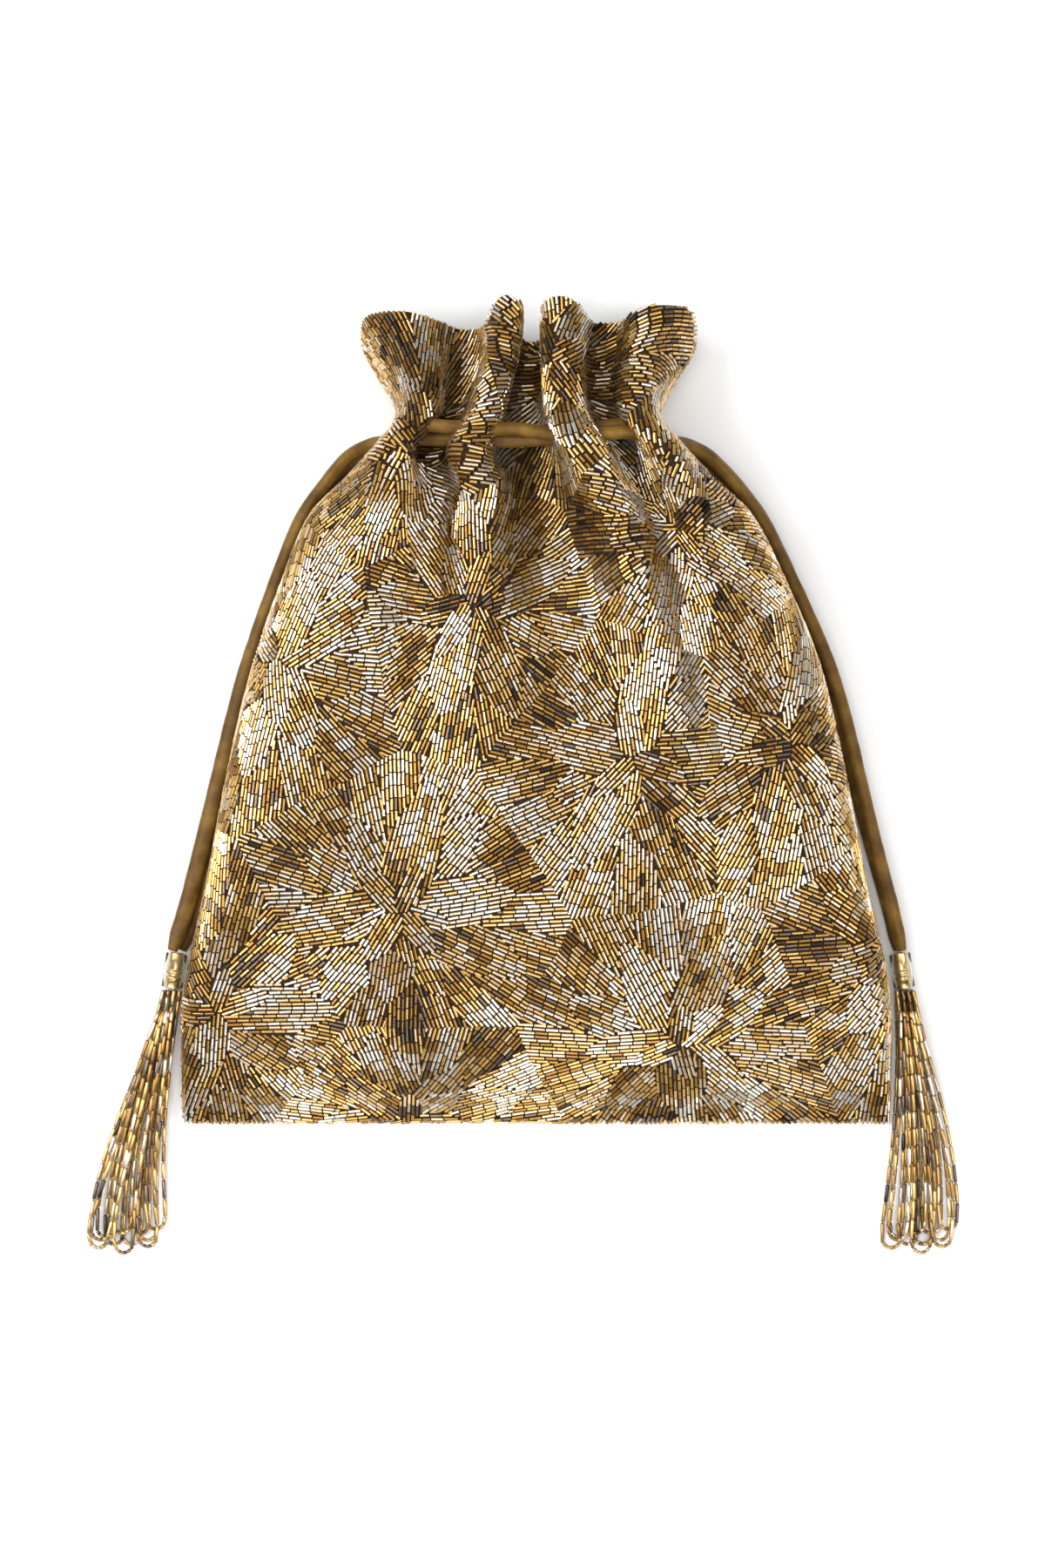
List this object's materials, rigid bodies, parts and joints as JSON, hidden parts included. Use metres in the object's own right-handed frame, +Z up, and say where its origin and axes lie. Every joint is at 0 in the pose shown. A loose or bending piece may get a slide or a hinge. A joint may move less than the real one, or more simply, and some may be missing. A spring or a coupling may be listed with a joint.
{
  "type": "drawstring pouch",
  "caption": "Gathered drawstring pouch of bead-covered cloth lying on its back, with a ruffled mouth, cord loops through the neck and a bead tassel beside each side.",
  "frame": {"origin": "under the middle of the pouch, on the surface that it lies on, measured without the drawstrings and tassels", "axes": "+Y from the base seam to the ruffle, +X to the right seen from above, +Z up through the front of the pouch"},
  "size_m": [0.2684, 0.2934, 0.0472],
  "materials": {
    "beaded_cloth": "cloth covered with glossy gold, bronze and champagne bugle beads",
    "lining_satin": "plain satin",
    "cord_satin": "golden brown satin tube cord",
    "brass": "polished",
    "clear_sleeve": "clear and glossy",
    "strung_beads": "glossy silver-lined gold and champagne bugle beads"
  },
  "bodies": {
    "root": {"front_panel": "beaded_cloth", "back_panel": "beaded_cloth", "lining": "lining_satin", "drawstring_left": "cord_satin", "drawstring_right": "cord_satin", "tassel_left_collar": "brass", "tassel_left_sleeve": "clear_sleeve", "tassel_right_collar": "brass", "tassel_right_sleeve": "clear_sleeve", "tassel_left_strand_01": "strung_beads", "tassel_left_strand_02": "strung_beads", "tassel_left_strand_03": "strung_beads", "tassel_left_strand_04": "strung_beads", "tassel_left_strand_05": "strung_beads", "tassel_left_strand_06": "strung_beads", "tassel_left_strand_07": "strung_beads", "tassel_left_strand_08": "strung_beads", "tassel_right_strand_01": "strung_beads", "tassel_right_strand_02": "strung_beads", "tassel_right_strand_03": "strung_beads", "tassel_right_strand_04": "strung_beads", "tassel_right_strand_05": "strung_beads", "tassel_right_strand_06": "strung_beads", "tassel_right_strand_07": "strung_beads", "tassel_right_strand_08": "strung_beads"}
  },
  "joints": []
}
